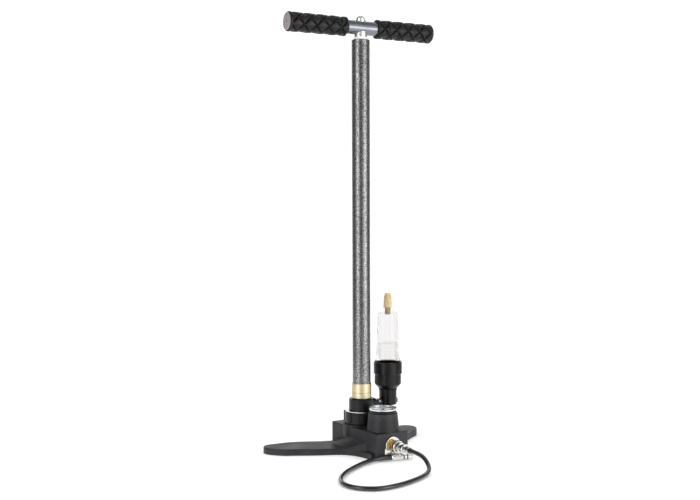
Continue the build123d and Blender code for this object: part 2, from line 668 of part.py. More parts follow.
with BuildPart() as outlet_nut:
    hexagon(8.4, plate_floor + fit_gap, nut_front, outlet)
    disc(6.25, 0, nut_front + 1, outlet, mode=Mode.SUBTRACT)
    turn([(7.6, nut_front - 0.6), (7.6, nut_front + 1), (10, nut_front + 1), (10, nut_front - 1.8)],
         outlet, mode=Mode.SUBTRACT)
save(outlet_nut, "outlet_nut")

with BuildPart() as outlet_adapter:
    turn([(1.5, port_floor + 0.1), (5.9, port_floor + 0.1), (5.9, -9.9), (6.1, -9.9),
          (6.1, nut_front + fit_gap), (8.2, nut_front + fit_gap), (8.9, nut_front + 0.8),
          (8.9, adapter_front - 0.8), (8.3, adapter_front), (1.5, adapter_front)], outlet)
save(outlet_adapter, "outlet_adapter")

with BuildPart() as outlet_coupling:
    turn([(1.5, adapter_front + fit_gap), (6.2, adapter_front + fit_gap), (6.2, 16.4), (6.9, 16.8),
          (7.4, 17.4), (7.4, 20.4), (6.9, 21.0), (5.4, 21.2), (5.2, 27.6), (6.7, 27.9),
          (7.2, 28.4), (7.2, 30.6), (6.6, coupling_front), (1.5, coupling_front)], outlet)
save(outlet_coupling, "outlet_coupling")

with BuildPart() as hose_ferrule:
    turn([(1.5, coupling_front + fit_gap), (5.3, coupling_front + fit_gap), (5.3, coupling_front + 2),
          (4.8, coupling_front + 2.6), (4.8, ferrule_front - 1.7), (4.4, ferrule_front),
          (1.5, ferrule_front)], outlet)
save(hose_ferrule, "hose_ferrule")

with BuildPart() as hose_boot:
    turn([(0, ferrule_front + fit_gap), (4.0, ferrule_front + fit_gap), (3.4, boot_front),
          (0, boot_front)], outlet)
save(hose_boot, "hose_boot")

# ---------------------------------------------------------------- hose and fill probe
hose_start = (outlet_x, block_front - boot_front, outlet_height)
probe_run = 19.0
hose_route = [
    hose_start,
    (outlet_x, -136.5, outlet_height),
    (-0.6, -152.9, 15.2),
    (-4.9, -169.2, 5.6),
    (-20, -182, 3.0),
    (-42, -193, 3.0),
    (-68, -202, 3.0),
    (-94, -206.5, 3.0),
    (-116, -203.5, 3.0),
    (-133.5, -186.5, 3.0),
    (-137.5, -162, 3.0),
    (-126.5, -137.5, 3.0),
    (-106, -117, 3.0),
    (-80, -99.5, 3.0),
    (-52, -85, 3.4),
    (probe_start[0] - probe_run * probe_way[0], probe_start[1] - probe_run * probe_way[1], probe_height),
    (*probe_start, probe_height),
]


def corner_radii(route):
    """The largest arc that each corner's two runs allow, at 0.45 of the shorter run."""
    points = [Vector(*point) for point in route]
    radii = []
    for before, corner, after in zip(points, points[1:], points[2:]):
        run_in = corner - before
        run_out = after - corner
        half_turn = radians(run_in.get_angle(run_out)) / 2
        radii.append(0.45 * min(run_in.length, run_out.length) / tan(half_turn))
    return radii


hose_bends = corner_radii(hose_route)
print("hose corner radii, mm:", [round(radius) for radius in hose_bends])
with BuildPart() as air_hose:
    with BuildLine() as hose_path:
        FilletPolyline(*hose_route, radius=hose_bends)
    with BuildSketch(Plane(origin=hose_path.wire() @ 0, z_dir=hose_path.wire() % 0)):
        Circle(hose_radius)
    sweep()
hose_length = hose_path.wire().length
print(f"hose length {hose_length:.1f} mm, volume {air_hose.part.volume:.0f} mm3,",
      f"section times length {pi * hose_radius ** 2 * hose_length:.0f} mm3")
save(air_hose, "air_hose")

with BuildPart() as probe_ferrule:
    turn([(0, fit_gap), (3.8, fit_gap), (4.35, 0.8), (4.35, 8.6), (4.1, 9.2), (0, 9.2)], probe)
save(probe_ferrule, "probe_ferrule")

probe_groove_heights = [17.4, 22.6]
with BuildPart() as fill_probe:
    turn([(0, 9.25), (4.2, 9.25), (4.2, 15.0), (3.5, 15.6), (3.5, 30.2), (2.7, 31.0), (0, 31.0)], probe)
    for height in probe_groove_heights:
        turn([(2.5, height - 0.9), (5, height - 0.9), (5, height + 0.9), (2.5, height + 0.9)], probe,
             mode=Mode.SUBTRACT)
    disc(0.8, 9, 20.6, probe, mode=Mode.SUBTRACT)
    cross_hole = Plane(origin=probe.origin + probe.z_dir * 20, x_dir=probe_way, z_dir=(0, 0, 1))
    disc(0.8, -5, 5, cross_hole, mode=Mode.SUBTRACT)
save(fill_probe, "fill_probe")

with BuildPart() as probe_seals:
    seal(3.05, 0.54, probe_groove_heights, probe)
save(probe_seals, "probe_seals")

# ---------------------------------------------------------------- pressure release
knurl_count = 28
with BuildPart() as bleed_screw:
    disc(2.4, -19.0, 1.4, bleed)
    disc(3.05, -9.6, 0.2, bleed)
    turn([(0, 0.8), (5.6, 0.8), (6.4, 1.6), (6.4, 8.4), (5.6, 9.2), (0, 9.2)], bleed)
    with BuildSketch(bleed.offset(1.8)) as knurl:
        with PolarLocations(6.45, knurl_count):
            Circle(0.36)
    extrude(knurl.sketch, amount=6.4, mode=Mode.SUBTRACT)
save(bleed_screw, "bleed_screw")
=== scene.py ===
import json
import math

import bmesh
import bpy
from mathutils import Matrix, Vector


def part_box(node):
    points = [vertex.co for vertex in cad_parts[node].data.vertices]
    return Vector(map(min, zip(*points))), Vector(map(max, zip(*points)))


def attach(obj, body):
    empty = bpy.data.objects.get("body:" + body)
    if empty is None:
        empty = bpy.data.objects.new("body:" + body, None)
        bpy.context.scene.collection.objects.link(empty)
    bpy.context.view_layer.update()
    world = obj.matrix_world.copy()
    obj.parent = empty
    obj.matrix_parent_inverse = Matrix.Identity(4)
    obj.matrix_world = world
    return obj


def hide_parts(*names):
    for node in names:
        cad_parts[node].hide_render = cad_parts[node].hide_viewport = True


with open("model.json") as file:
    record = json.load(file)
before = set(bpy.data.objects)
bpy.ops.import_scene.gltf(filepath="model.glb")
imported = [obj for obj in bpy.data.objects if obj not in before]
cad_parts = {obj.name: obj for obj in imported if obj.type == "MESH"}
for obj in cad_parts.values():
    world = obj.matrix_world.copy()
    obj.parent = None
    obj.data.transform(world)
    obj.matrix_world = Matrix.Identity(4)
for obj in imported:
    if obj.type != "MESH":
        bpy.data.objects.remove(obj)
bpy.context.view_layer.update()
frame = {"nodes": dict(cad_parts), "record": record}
MM = 0.001
HANDLE_TURN = -6.9          # degrees about +Z that the T-handle stands at, as in the CAD

# ---------------------------------------------------------------- camera
CAMERA_AZIMUTH = 33.89      # degrees clockwise of +Y that the camera looks
CAMERA_DISTANCE = 1.4679    # from the pump tube's axis, along the floor
CAMERA_HEIGHT = 0.3374
CAMERA_TILT = 1.48          # degrees below the horizon
CAMERA_ROLL = -0.155        # degrees
azimuth = math.radians(CAMERA_AZIMUTH)
camera_data = bpy.data.cameras.new("camera")
camera_data.sensor_width = 36
camera_data.lens = 51.86
camera_data.shift_x = -0.0160
camera_data.shift_y = -0.0090
camera_data.clip_start = 0.05
camera = bpy.data.objects.new("camera", camera_data)
camera.location = (-math.sin(azimuth) * CAMERA_DISTANCE, -math.cos(azimuth) * CAMERA_DISTANCE,
                   CAMERA_HEIGHT)
camera.rotation_euler = (Matrix.Rotation(-azimuth, 3, "Z")
                         @ Matrix.Rotation(math.radians(90 - CAMERA_TILT), 3, "X")
                         @ Matrix.Rotation(math.radians(CAMERA_ROLL), 3, "Z")).to_euler()
bpy.context.scene.collection.objects.link(camera)
bpy.context.scene.camera = camera


# ---------------------------------------------------------------- hose
def place_piece(name, data, body, slot_name, *replaced):
    """A new object that rides a body and replaces CAD nodes; its slot name is not used."""
    piece = bpy.data.objects.new(name, data)
    bpy.context.scene.collection.objects.link(piece)
    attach(piece, body)
    if replaced:
        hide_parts(*replaced)
    return piece


HOSE_RADIUS = 3.0
# the route in millimetres, as in the CAD: out of the boot, round the loop, to the probe's ferrule
hose_route = [
    (-1, -123, 19.2), (-1, -136.5, 19.2), (-0.6, -152.9, 15.2), (-4.9, -169.2, 5.6),
    (-20, -182, 3), (-42, -193, 3), (-68, -202, 3), (-94, -206.5, 3), (-116, -203.5, 3),
    (-133.5, -186.5, 3), (-137.5, -162, 3), (-126.5, -137.5, 3), (-106, -117, 3),
    (-80, -99.5, 3), (-52, -85, 3.4), (-26.05, -79.75, 4.4), (-8.2, -86.25, 4.4),
]
hose_curve = bpy.data.curves.new("hose", "CURVE")
hose_curve.dimensions = "3D"
hose_curve.bevel_depth = 1      # each point's own radius sizes the hose
hose_curve.bevel_resolution = 8
hose_curve.use_fill_caps = True
hose_line = hose_curve.splines.new("NURBS")
hose_line.points.add(len(hose_route) - 1)
for point, place in zip(hose_line.points, hose_route):
    point.co = (*(Vector(place) * MM), 1)
    point.radius = HOSE_RADIUS * MM
hose_line.order_u = 3
hose_line.use_endpoint_u = True
hose_line.resolution_u = 12
hose = place_piece("hose", hose_curve, "pump_body", "hose_black", "air_hose")


# ---------------------------------------------------------------- material helpers
def new_material(name, colour, roughness, metallic=0.0, **sockets):
    """A material with its shader's constant sockets set; returns it with its tree and shader."""
    material = bpy.data.materials.new(name)
    material.use_nodes = True
    tree = material.node_tree
    shader = tree.nodes["Principled BSDF"]
    shader.inputs["Base Color"].default_value = (*colour, 1)
    shader.inputs["Roughness"].default_value = roughness
    shader.inputs["Metallic"].default_value = metallic
    for socket, value in sockets.items():
        shader.inputs[socket.replace("_", " ")].default_value = value
    return material, tree, shader


def texture(tree, kind, scale, stretch=(1, 1, 1), turn=(0, 0, 0), **settings):
    """A texture's value from object coordinates; scale is in repeats per metre."""
    place = tree.nodes.new("ShaderNodeTexCoord")
    mapping = tree.nodes.new("ShaderNodeMapping")
    mapping.inputs["Scale"].default_value = stretch
    mapping.inputs["Rotation"].default_value = turn
    node = tree.nodes.new(kind)
    node.inputs["Scale"].default_value = scale
    for setting, value in settings.items():
        if setting in node.inputs:
            node.inputs[setting].default_value = value
        else:
            setattr(node, setting, value)
    tree.links.new(place.outputs["Object"], mapping.inputs["Vector"])
    tree.links.new(mapping.outputs["Vector"], node.inputs["Vector"])
    return node.outputs["Distance"] if kind == "ShaderNodeTexVoronoi" else node.outputs[0]


def spread(tree, source, low, high, from_low=0.3, from_high=0.7):
    """A number that runs from low to high as the source runs between two values."""
    node = tree.nodes.new("ShaderNodeMapRange")
    node.inputs["From Min"].default_value = from_low
    node.inputs["From Max"].default_value = from_high
    node.inputs["To Min"].default_value = low
    node.inputs["To Max"].default_value = high
    tree.links.new(source, node.inputs["Value"])
    return node.outputs["Result"]


def blend_colours(tree, source, dark, light, from_low=0.3, from_high=0.7):
    """A colour that runs from dark to light as the source runs between two values."""
    node = tree.nodes.new("ShaderNodeValToRGB")
    node.color_ramp.elements[0].position = from_low
    node.color_ramp.elements[0].color = (*dark, 1)
    node.color_ramp.elements[1].position = from_high
    node.color_ramp.elements[1].color = (*light, 1)
    tree.links.new(source, node.inputs["Fac"])
    return node.outputs["Color"]


def multiply_colours(tree, first, second, amount):
    """The first colour darkened or lightened by the second."""
    node = tree.nodes.new("ShaderNodeMix")
    node.data_type = "RGBA"
    node.blend_type = "MULTIPLY"
    node.inputs["Factor"].default_value = amount
    tree.links.new(first, node.inputs["A"])
    tree.links.new(second, node.inputs["B"])
    return node.outputs["Result"]


def edge_wear(tree, low, high):
    """A grey that is light on convex edges: wear where handling has polished the finish, and a
    painted highlight where the edges catch the light.
    """
    flat, sharp_edge = 0.5, 0.58
    geometry = tree.nodes.new("ShaderNodeNewGeometry")
    return blend_colours(tree, geometry.outputs["Pointiness"], (low,) * 3, (high,) * 3,
                         flat, sharp_edge)


def bump(tree, shader, source, strength, depth_mm):
    """Bump of a depth in millimetres from a height."""
    node = tree.nodes.new("ShaderNodeBump")
    node.inputs["Strength"].default_value = strength
    node.inputs["Distance"].default_value = depth_mm * MM
    tree.links.new(source, node.inputs["Height"])
    tree.links.new(node.outputs["Normal"], shader.inputs["Normal"])


# ---------------------------------------------------------------- materials
# Colours are linear. Textures repeat so many times per metre.
def noisy_paint(name, dark, light, rough, grain, **sockets):
    """A finish whose colour and gloss wander over centimetres, with a fine grain.

    Rough is the least and the most roughness. Grain is its repeats per metre and its depth in
    millimetres.
    """
    material, tree, shader = new_material(name, dark, rough[0], **sockets)
    cloud = texture(tree, "ShaderNodeTexNoise", 45, Detail=4)
    fine = texture(tree, "ShaderNodeTexNoise", grain[0], Detail=3)
    tree.links.new(blend_colours(tree, cloud, dark, light), shader.inputs["Base Color"])
    tree.links.new(spread(tree, cloud, *rough), shader.inputs["Roughness"])
    bump(tree, shader, fine, 0.6, grain[1])
    return material


def powder_coat():
    """Charcoal powder coat: orange-peel grain, paler on the edges, where it is thin and where a
    painted highlight lies.
    """
    material, tree, shader = new_material("powder_coat", (0.012, 0.012, 0.014), 0.5,
                                          Specular_IOR_Level=0.38)
    cloud = texture(tree, "ShaderNodeTexNoise", 28, Detail=5)
    speck = texture(tree, "ShaderNodeTexNoise", 900, Detail=2)
    grain = texture(tree, "ShaderNodeTexNoise", 700, Detail=3)
    base = blend_colours(tree, cloud, (0.0095, 0.0095, 0.0115), (0.0150, 0.0147, 0.0165))
    flecked = multiply_colours(tree, base, blend_colours(tree, speck, (0.5,) * 3, (1.5,) * 3), 0.6)
    # edges up to 1.9 times lighter: partly wear, partly painted highlight
    tree.links.new(multiply_colours(tree, flecked, edge_wear(tree, 1.0, 1.9), 1.0),
                   shader.inputs["Base Color"])
    tree.links.new(spread(tree, cloud, 0.42, 0.56), shader.inputs["Roughness"])
    bump(tree, shader, grain, 0.55, 0.2)
    return material


def hammered_paint():
    """Dark silver hammered paint: small rounded dimples in metallic lacquer."""
    material, tree, shader = new_material("hammered_paint", (0.2, 0.2, 0.21), 0.26, 0.9,
                                          Coat_Weight=0.15, Coat_Roughness=0.1)
    dimples = texture(tree, "ShaderNodeTexVoronoi", 620, stretch=(1, 1, 0.7),
                      feature="SMOOTH_F1", Smoothness=0.4)
    flakes = texture(tree, "ShaderNodeTexNoise", 850, stretch=(1, 1, 0.7), Detail=2, Roughness=0.6)
    drift = texture(tree, "ShaderNodeTexNoise", 20, Detail=3)
    speckle = blend_colours(tree, flakes, (0.055, 0.055, 0.057), (0.42, 0.42, 0.425), 0.38, 0.64)
    tone = blend_colours(tree, drift, (0.85,) * 3, (1.1,) * 3)
    tree.links.new(multiply_colours(tree, speckle, tone, 1.0), shader.inputs["Base Color"])
    tree.links.new(spread(tree, flakes, 0.40, 0.28), shader.inputs["Roughness"])
    bump(tree, shader, dimples, 0.45, 0.2)
    return material


def turned_metal(name, dark, light, roughness, rings=(2600, 0.02)):
    """Metal with the fine rings that a lathe leaves, and faint staining.

    Rings is their repeats per metre and depth in millimetres.
    """
    material, tree, shader = new_material(name, light, roughness, 1.0)
    stain = texture(tree, "ShaderNodeTexNoise", 70, Detail=5)
    lathe = texture(tree, "ShaderNodeTexNoise", 1, stretch=(60, 60, rings[0]), Detail=2)
    tree.links.new(blend_colours(tree, stain, dark, light), shader.inputs["Base Color"])
    tree.links.new(spread(tree, stain, roughness * 1.25, roughness * 0.85),
                   shader.inputs["Roughness"])
    bump(tree, shader, lathe, 0.35, rings[1])
    return material


def brushed_handle():
    """Aluminium tube with brush lines along its length."""
    material, tree, shader = new_material("brushed_handle", (0.19, 0.2, 0.22), 0.3, 1.0)
    stain = texture(tree, "ShaderNodeTexNoise", 60, Detail=4)
    lines = texture(tree, "ShaderNodeTexNoise", 1, stretch=(80, 4000, 4000),
                    turn=(0, 0, math.radians(-HANDLE_TURN)), Detail=2)
    tree.links.new(blend_colours(tree, stain, (0.18, 0.19, 0.207), (0.222, 0.236, 0.26)),
                   shader.inputs["Base Color"])
    tree.links.new(spread(tree, lines, 0.2, 0.3), shader.inputs["Roughness"])
    bump(tree, shader, lines, 0.2, 0.02)
    return material


def sintered_bronze():
    """Tan sintered bronze: a matt crust of small grains."""
    material, tree, shader = new_material("sintered_bronze", (0.6, 0.47, 0.27), 0.75, 0.15)
    grains = texture(tree, "ShaderNodeTexVoronoi", 1500)
    cloud = texture(tree, "ShaderNodeTexNoise", 240, Detail=4)
    tree.links.new(blend_colours(tree, cloud, (0.50, 0.37, 0.19), (0.70, 0.56, 0.34)),
                   shader.inputs["Base Color"])
    bump(tree, shader, grains, 0.8, 0.25)
    return material


def clear_plastic(name, tint, **sockets):
    """Clear moulded plastic with a faint tint and a trace of haze."""
    material, tree, shader = new_material(name, tint, 0.04, 0.0, **sockets)
    haze = texture(tree, "ShaderNodeTexNoise", 90, Detail=4)
    tree.links.new(spread(tree, haze, 0.03, 0.09), shader.inputs["Roughness"])
    bump(tree, shader, haze, 0.05, 0.3)
    return material


def hose_cover():
    """Glossy black hose cover with a faint braid underneath."""
    material, tree, shader = new_material("hose_cover", (0.012, 0.012, 0.013), 0.24, 0.0,
                                          Coat_Weight=0.4, Coat_Roughness=0.1)
    braid = texture(tree, "ShaderNodeTexVoronoi", 700)
    scuff = texture(tree, "ShaderNodeTexNoise", 150, Detail=5)
    tree.links.new(blend_colours(tree, scuff, (0.007, 0.007, 0.008), (0.016, 0.016, 0.018)),
                   shader.inputs["Base Color"])
    tree.links.new(spread(tree, scuff, 0.16, 0.28), shader.inputs["Roughness"])
    bump(tree, shader, braid, 0.2, 0.05)
    return material


MATERIALS = {
    "powder_coat": powder_coat(),
    "hammered_paint": hammered_paint(),
    "machined_steel": turned_metal("machined_steel", (0.42, 0.43, 0.44), (0.62, 0.63, 0.64), 0.3),
    "screw_steel": turned_metal("screw_steel", (0.35, 0.35, 0.36), (0.52, 0.52, 0.53), 0.34),
    "arm_screw": turned_metal("arm_screw", (0.32, 0.32, 0.33), (0.5, 0.5, 0.51), 0.3),
    "valve_alloy": turned_metal("valve_alloy", (0.58, 0.59, 0.6), (0.72, 0.73, 0.74), 0.32),
    "black_nylon": noisy_paint("black_nylon", (0.0035, 0.0036, 0.004), (0.0065, 0.0066, 0.0074),
                               rough=(0.24, 0.36), grain=(1400, 0.05), Specular_IOR_Level=0.28),
    "stem_plug": turned_metal("stem_plug", (0.14, 0.14, 0.15), (0.26, 0.26, 0.27), 0.35),
    "gauge_black": noisy_paint("gauge_black", (0.003, 0.003, 0.003), (0.006, 0.006, 0.006),
                               rough=(0.2, 0.28), grain=(900, 0.03), Specular_IOR_Level=0.25),
    "brass": turned_metal("brass", (0.68, 0.57, 0.36), (0.82, 0.72, 0.50), 0.42,
                          rings=(3000, 0.03)),
    # gold_brass: the outlet's own deeper gold brass, darkened further as painted shade for the
    # recess it sits in
    "gold_brass": turned_metal("gold_brass", (0.50, 0.29, 0.06), (0.72, 0.47, 0.14), 0.24,
                               rings=(3000, 0.03)),
    "nickel": turned_metal("nickel", (0.68, 0.67, 0.65), (0.84, 0.83, 0.81), 0.18),
    "rod_steel": turned_metal("rod_steel", (0.82, 0.81, 0.81), (0.92, 0.91, 0.91), 0.44),
    "bush": noisy_paint("bush", (0.70, 0.69, 0.67), (0.82, 0.81, 0.79),
                        rough=(0.4, 0.5), grain=(1200, 0.04)),
    "handle_alloy": brushed_handle(),
    "grip_rubber": noisy_paint("grip_rubber", (0.004, 0.004, 0.0044), (0.0075, 0.0075, 0.0082),
                               rough=(0.36, 0.5), grain=(1500, 0.08), Specular_IOR_Level=0.36),
    "grip_cap": noisy_paint("grip_cap", (0.20, 0.175, 0.185), (0.28, 0.245, 0.255),
                            rough=(0.42, 0.5), grain=(800, 0.06)),
    "seal_rubber": noisy_paint("seal_rubber", (0.01, 0.01, 0.01), (0.018, 0.018, 0.018),
                               rough=(0.4, 0.5), grain=(1200, 0.03)),
    "hose_black": hose_cover(),
    "dial_white": noisy_paint("dial_white", (0.72, 0.77, 0.85), (0.80, 0.84, 0.90),
                              rough=(0.35, 0.42), grain=(500, 0.01)),
    "dial_ink": noisy_paint("dial_ink", (0.012, 0.012, 0.02), (0.03, 0.03, 0.045),
                            rough=(0.4, 0.5), grain=(900, 0.01)),
    "needle_dark": noisy_paint("needle_dark", (0.03, 0.028, 0.026), (0.06, 0.055, 0.05),
                               rough=(0.35, 0.45), grain=(900, 0.02)),
    "gauge_glass": clear_plastic("lens_plastic", (0.8, 0.85, 0.95), Alpha=0.12),
    "cup_clear": clear_plastic("cup_plastic", (0.77, 0.755, 0.76), Transmission_Weight=1.0,
                               IOR=1.15, Alpha=0.55),
    "screen_clear": clear_plastic("screen_plastic", (0.95, 0.95, 0.94), Transmission_Weight=1.0,
                                  IOR=1.15, Alpha=0.55),
    "felt": noisy_paint("felt", (0.72, 0.72, 0.70), (0.86, 0.86, 0.84),
                        rough=(0.9, 1.0), grain=(1800, 0.4)),
    "sintered": sintered_bronze(),
}
hose_curve.materials.append(MATERIALS["hose_black"])

# ---------------------------------------------------------------- CAD nodes
SHARP_ANGLE = math.radians(31)
for part in frame["record"]["subparts"]:
    cad = frame["nodes"][part["node"]]
    cad.data.materials.clear()
    finish = "screen_clear" if part["node"] == "filter_screen" else part["material_slot"]
    cad.data.materials.append(MATERIALS[finish])
    cad.data.shade_smooth()
    cad.data.set_sharp_from_angle(angle=SHARP_ANGLE)


# ---------------------------------------------------------------- grips
GRIP_ROWS = 300             # steps along a grip
GRIP_COLUMNS = 192          # steps round it
DIAMOND_LENGTH = 19.3       # along the grip
DIAMOND_DEGREES = 90        # round it
GROOVE_DEPTH = 1.7
GROOVE_HALF_WIDTH = 1.5
PAD_CROWN = 0.9             # how far a diamond's middle stands above its edges
RING_GROOVE_DEPTH = 1.6
RING_GROOVE_HALF_WIDTH = 1.1
PLAIN_BAND = 4.0            # at the outer end, without diamonds
BAND_FADE = 2.0             # over which the diamonds fade out there
INNER_ROUNDING = 1.8
OUTER_ROUNDING = 1.3
BORE_GAP = 0.05             # between a grip's bore and the handle tube
GRIP_SHARP_ANGLE = math.radians(60)
handle_way = Vector((math.cos(math.radians(HANDLE_TURN)), math.sin(math.radians(HANDLE_TURN)), 0))
handle_side = Vector((0, 0, 1)).cross(handle_way)
handle_low, handle_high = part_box("handle_tube")
handle_centre = Vector((0, 0, (handle_low[2] + handle_high[2]) / 2))
handle_radius = (handle_high[2] - handle_low[2]) / 2 / MM


def handle_point(along, reach, degrees):
    """A point at a distance along the handle, a radius from its axis and an angle round it."""
    angle = math.radians(degrees)
    across = handle_side * math.cos(angle) + Vector((0, 0, 1)) * math.sin(angle)
    return handle_centre + (handle_way * along + across * reach) * MM


def span_along_handle(node):
    """How far from the pump's axis a node starts and ends along the handle, in millimetres."""
    places = [abs((vertex.co - handle_centre).dot(handle_way)) / MM
              for vertex in frame["nodes"][node].data.vertices]
    return min(places), max(places)


def diamond_depth(along, degrees, radius, crossing):
    """How deep the diamond lattice is cut; two of its grooves meet at the crossing."""
    lengthwise = (along - crossing[0]) / DIAMOND_LENGTH
    round_turn = (degrees - crossing[1]) / DIAMOND_DEGREES
    diamond_width = math.radians(DIAMOND_DEGREES) * radius
    spacing = 1 / math.hypot(1 / DIAMOND_LENGTH, 1 / diamond_width)
    first = abs((lengthwise + round_turn + 0.5) % 1 - 0.5) * spacing
    second = abs((lengthwise - round_turn + 0.5) % 1 - 0.5) * spacing
    nearest = min(first, second)
    groove = max(0, 1 - nearest / GROOVE_HALF_WIDTH)
    return GROOVE_DEPTH * groove + PAD_CROWN * (1 - 2 * nearest / spacing) ** 2


def grip_depth(along, degrees, length, radius, crossing, ring_grooves):
    """How far the grip's surface lies below its full radius."""
    diamonds = min(1, max(0, (length - along - PLAIN_BAND + BAND_FADE / 2) / BAND_FADE))
    depth = diamond_depth(along, degrees, radius, crossing) * diamonds
    for groove in ring_grooves:
        away = (along - groove) / RING_GROOVE_HALF_WIDTH
        depth = max(depth, RING_GROOVE_DEPTH * math.exp(-away ** 4))
    for distance, size in ((along, INNER_ROUNDING), (length - along, OUTER_ROUNDING)):
        if distance < size:
            depth += size * (1 - math.sqrt(1 - (1 - distance / size) ** 2))
    return depth


def make_grip(name, node, way, crossing, ring_grooves):
    """One rubber grip, as a closed shell round the handle tube.

    The crossing is a distance from the inner end and an angle; the ring grooves are distances.
    """
    inner, outer = span_along_handle(node)
    node_low, node_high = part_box(node)
    radius = (node_high[2] - node_low[2]) / 2 / MM
    length = outer - inner
    shape = bmesh.new()
    rings = []
    for row in range(GRIP_ROWS + 1):
        along = length * row / GRIP_ROWS
        ring = []
        for column in range(GRIP_COLUMNS):
            degrees = 360 * column / GRIP_COLUMNS
            depth = grip_depth(along, degrees, length, radius, crossing, ring_grooves)
            place = handle_point(way * (inner + along), radius - depth, degrees)
            ring.append(shape.verts.new(place))
        rings.append(ring)
    for along in (outer, inner):
        rings.append([shape.verts.new(handle_point(way * along, handle_radius + BORE_GAP,
                                                   360 * column / GRIP_COLUMNS))
                      for column in range(GRIP_COLUMNS)])
    rings.append(rings[0])
    for here, there in zip(rings, rings[1:]):
        for column in range(GRIP_COLUMNS):
            after = (column + 1) % GRIP_COLUMNS
            shape.faces.new((here[column], here[after], there[after], there[column]))
    bmesh.ops.recalc_face_normals(shape, faces=shape.faces)
    mesh = bpy.data.meshes.new(name)
    shape.to_mesh(mesh)
    shape.free()
    mesh.shade_smooth()
    mesh.set_sharp_from_angle(angle=GRIP_SHARP_ANGLE)
    mesh.materials.append(MATERIALS["grip_rubber"])
    place_piece(name, mesh, "handle", "grip_rubber", node)


make_grip("left_grip", "grip_left", -1, crossing=(31.2, 201), ring_grooves=(12.5, 27.7))
make_grip("right_grip", "grip_right", 1, crossing=(48.4, 183), ring_grooves=(16.9, 32.4))

# ---------------------------------------------------------------- gauge face
ZERO_ANGLE = 225.0          # degrees about the dial, where the scale starts
SCALE_SWEEP = 270.0
MARK_COUNT = 40
MARKS_PER_NUMBER = 10
NUMBER_STEP = 100
SCALE_INSET = 1.5           # the marks' outer ends, from the dial's edge
LONG_MARK_INSET = 5.2       # and their inner ends
SHORT_MARK_INSET = 3.6
LONG_MARK_WIDTH = 0.65
SHORT_MARK_WIDTH = 0.3
SCALE_LINE_WIDTH = 0.4
SCALE_LINE_STEPS = 90
BEZEL_SHADE_START = 72.0      # a dark band of painted shade from the bezel, over the top of the scale
BEZEL_SHADE_END = -28.0
BEZEL_SHADE_INSET = 4.6
BEZEL_SHADE_STEPS = 40
NUMBER_SIZE = 4.2
NUMBER_INSET = 8.0
INK_HEIGHT = 0.04
DOME_SINK = 0.05            # how far the needle's domes reach down into it
dial_low, dial_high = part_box("gauge_dial")
dial_centre = Vector(((dial_low[0] + dial_high[0]) / 2, (dial_low[1] + dial_high[1]) / 2,
                      dial_high[2]))
dial_radius = (dial_high[0] - dial_low[0]) / 2 / MM


def dial_point(radius, degrees, height=0.0):
    """A point on the dial, in metres, from polar coordinates in millimetres and degrees."""
    angle = math.radians(degrees)
    return dial_centre + Vector((radius * math.cos(angle), radius * math.sin(angle), height)) * MM


def add_prism(shape, outline):
    """A thin closed plate on the dial with the given outline of points."""
    bottom = [shape.verts.new(place) for place in outline]
    top = [shape.verts.new(place + Vector((0, 0, INK_HEIGHT * MM))) for place in outline]
    shape.faces.new(top)
    shape.faces.new(list(reversed(bottom)))
    for index in range(len(outline)):
        after = (index + 1) % len(outline)
        shape.faces.new((bottom[index], bottom[after], top[after], top[index]))


def radial_mark(shape, degrees, inner, outer, width):
    """A straight tick between two radii."""
    middle_inner = dial_point(inner, degrees)
    middle_outer = dial_point(outer, degrees)
    side = Vector((0, 0, 1)).cross((middle_outer - middle_inner).normalized()) * (width / 2 * MM)
    add_prism(shape, [middle_inner - side, middle_outer - side,
                      middle_outer + side, middle_inner + side])


def arc_mark(shape, start, end, inner, outer, steps):
    """A curved band between two radii."""
    angles = [start + (end - start) * step / steps for step in range(steps + 1)]
    add_prism(shape, [dial_point(inner, angle) for angle in angles]
              + [dial_point(outer, angle) for angle in reversed(angles)])


scale_radius = dial_radius - SCALE_INSET
# the dial's printed marks and scale line, and a band of painted shade from the bezel, in one mesh
print_and_shade = bmesh.new()
for mark in range(MARK_COUNT + 1):
    angle = ZERO_ANGLE - SCALE_SWEEP * mark / MARK_COUNT
    if mark % MARKS_PER_NUMBER == 0:
        radial_mark(print_and_shade, angle, dial_radius - LONG_MARK_INSET, scale_radius, LONG_MARK_WIDTH)
    else:
        radial_mark(print_and_shade, angle, dial_radius - SHORT_MARK_INSET, scale_radius, SHORT_MARK_WIDTH)
arc_mark(print_and_shade, ZERO_ANGLE, ZERO_ANGLE - SCALE_SWEEP, scale_radius, scale_radius + SCALE_LINE_WIDTH,
         SCALE_LINE_STEPS)
# the dark band is painted shade from the bezel, not print
arc_mark(print_and_shade, BEZEL_SHADE_START, BEZEL_SHADE_END, dial_radius - BEZEL_SHADE_INSET, scale_radius,
         BEZEL_SHADE_STEPS)
bmesh.ops.recalc_face_normals(print_and_shade, faces=print_and_shade.faces)
print_and_shade_mesh = bpy.data.meshes.new("dial_marks_and_shade")
print_and_shade.to_mesh(print_and_shade_mesh)
print_and_shade.free()
print_and_shade_mesh.materials.append(MATERIALS["dial_ink"])
place_piece("dial_marks_and_shade", print_and_shade_mesh, "pump_body", "dial_white")


